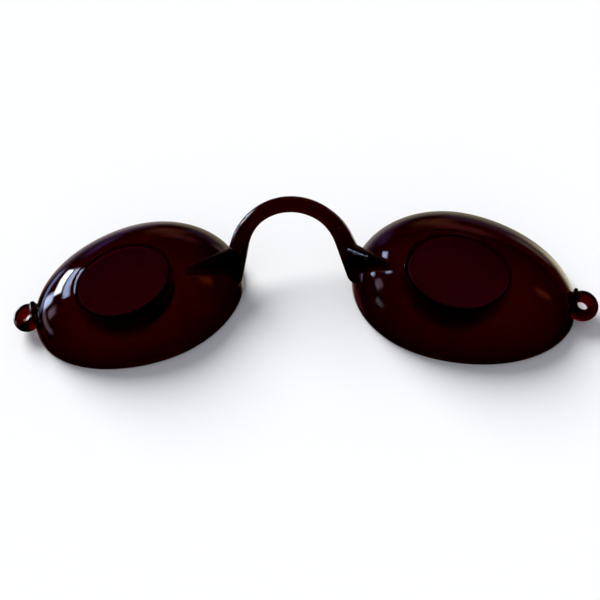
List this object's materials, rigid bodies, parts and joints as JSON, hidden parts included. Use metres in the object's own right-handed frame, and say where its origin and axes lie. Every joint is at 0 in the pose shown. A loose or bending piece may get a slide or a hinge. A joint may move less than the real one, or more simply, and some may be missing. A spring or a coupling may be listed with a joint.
{
  "type": "tanning goggles",
  "caption": "Dark burgundy domed eye cups with oval filter lenses on a springy arched nose band, with a ring eyelet for an elastic at each outer end.",
  "frame": {"origin": "middle of the object's box in plan, on the plane that the cup rims rest on", "axes": "+Z is the way the domes face, away from the eyes; +Y is the brow side, where the nose band arches; +X is to the right as seen from the front, which is the wearer's left"},
  "size_m": [0.1316, 0.0366, 0.019],
  "materials": {
    "burgundy_plastic": "polished, dark and slightly see-through at thin edges",
    "filter_lens": "polished, very dark purple-red filter"
  },
  "bodies": {
    "bridge": {"bridge_crown": "burgundy_plastic"},
    "left_arm": {"left_bridge_arm": "burgundy_plastic"},
    "right_arm": {"right_bridge_arm": "burgundy_plastic"},
    "left_eyepiece": {"left_eye_cup": "burgundy_plastic", "left_lens": "filter_lens", "left_bridge_root": "burgundy_plastic", "left_strap_eyelet": "burgundy_plastic"},
    "right_eyepiece": {"right_eye_cup": "burgundy_plastic", "right_lens": "filter_lens", "right_bridge_root": "burgundy_plastic", "right_strap_eyelet": "burgundy_plastic"}
  },
  "joints": [
    {"name": "left_nose_flex", "type": "hinge", "parent": "bridge", "child": "left_arm", "pos_m": [-0.00797, 0.01139, 0.01499], "axis": [0, 0, -1], "range_deg": [-15, 20], "stiffness_Nm_per_rad": 0.05, "deforming": ["left_bridge_arm"]},
    {"name": "left_wrap_flex", "type": "hinge", "parent": "left_arm", "child": "left_eyepiece", "pos_m": [-0.01189, 0.00748, 0.01052], "axis": [0, -1, 0], "range_deg": [-15, 30], "stiffness_Nm_per_rad": 0.05, "deforming": ["left_bridge_arm"]},
    {"name": "right_nose_flex", "type": "hinge", "parent": "bridge", "child": "right_arm", "pos_m": [0.00797, 0.01139, 0.01499], "axis": [0, 0, 1], "range_deg": [-15, 20], "stiffness_Nm_per_rad": 0.05, "deforming": ["right_bridge_arm"]},
    {"name": "right_wrap_flex", "type": "hinge", "parent": "right_arm", "child": "right_eyepiece", "pos_m": [0.01189, 0.00748, 0.01052], "axis": [0, 1, 0], "range_deg": [-15, 30], "stiffness_Nm_per_rad": 0.05, "deforming": ["right_bridge_arm"]}
  ]
}
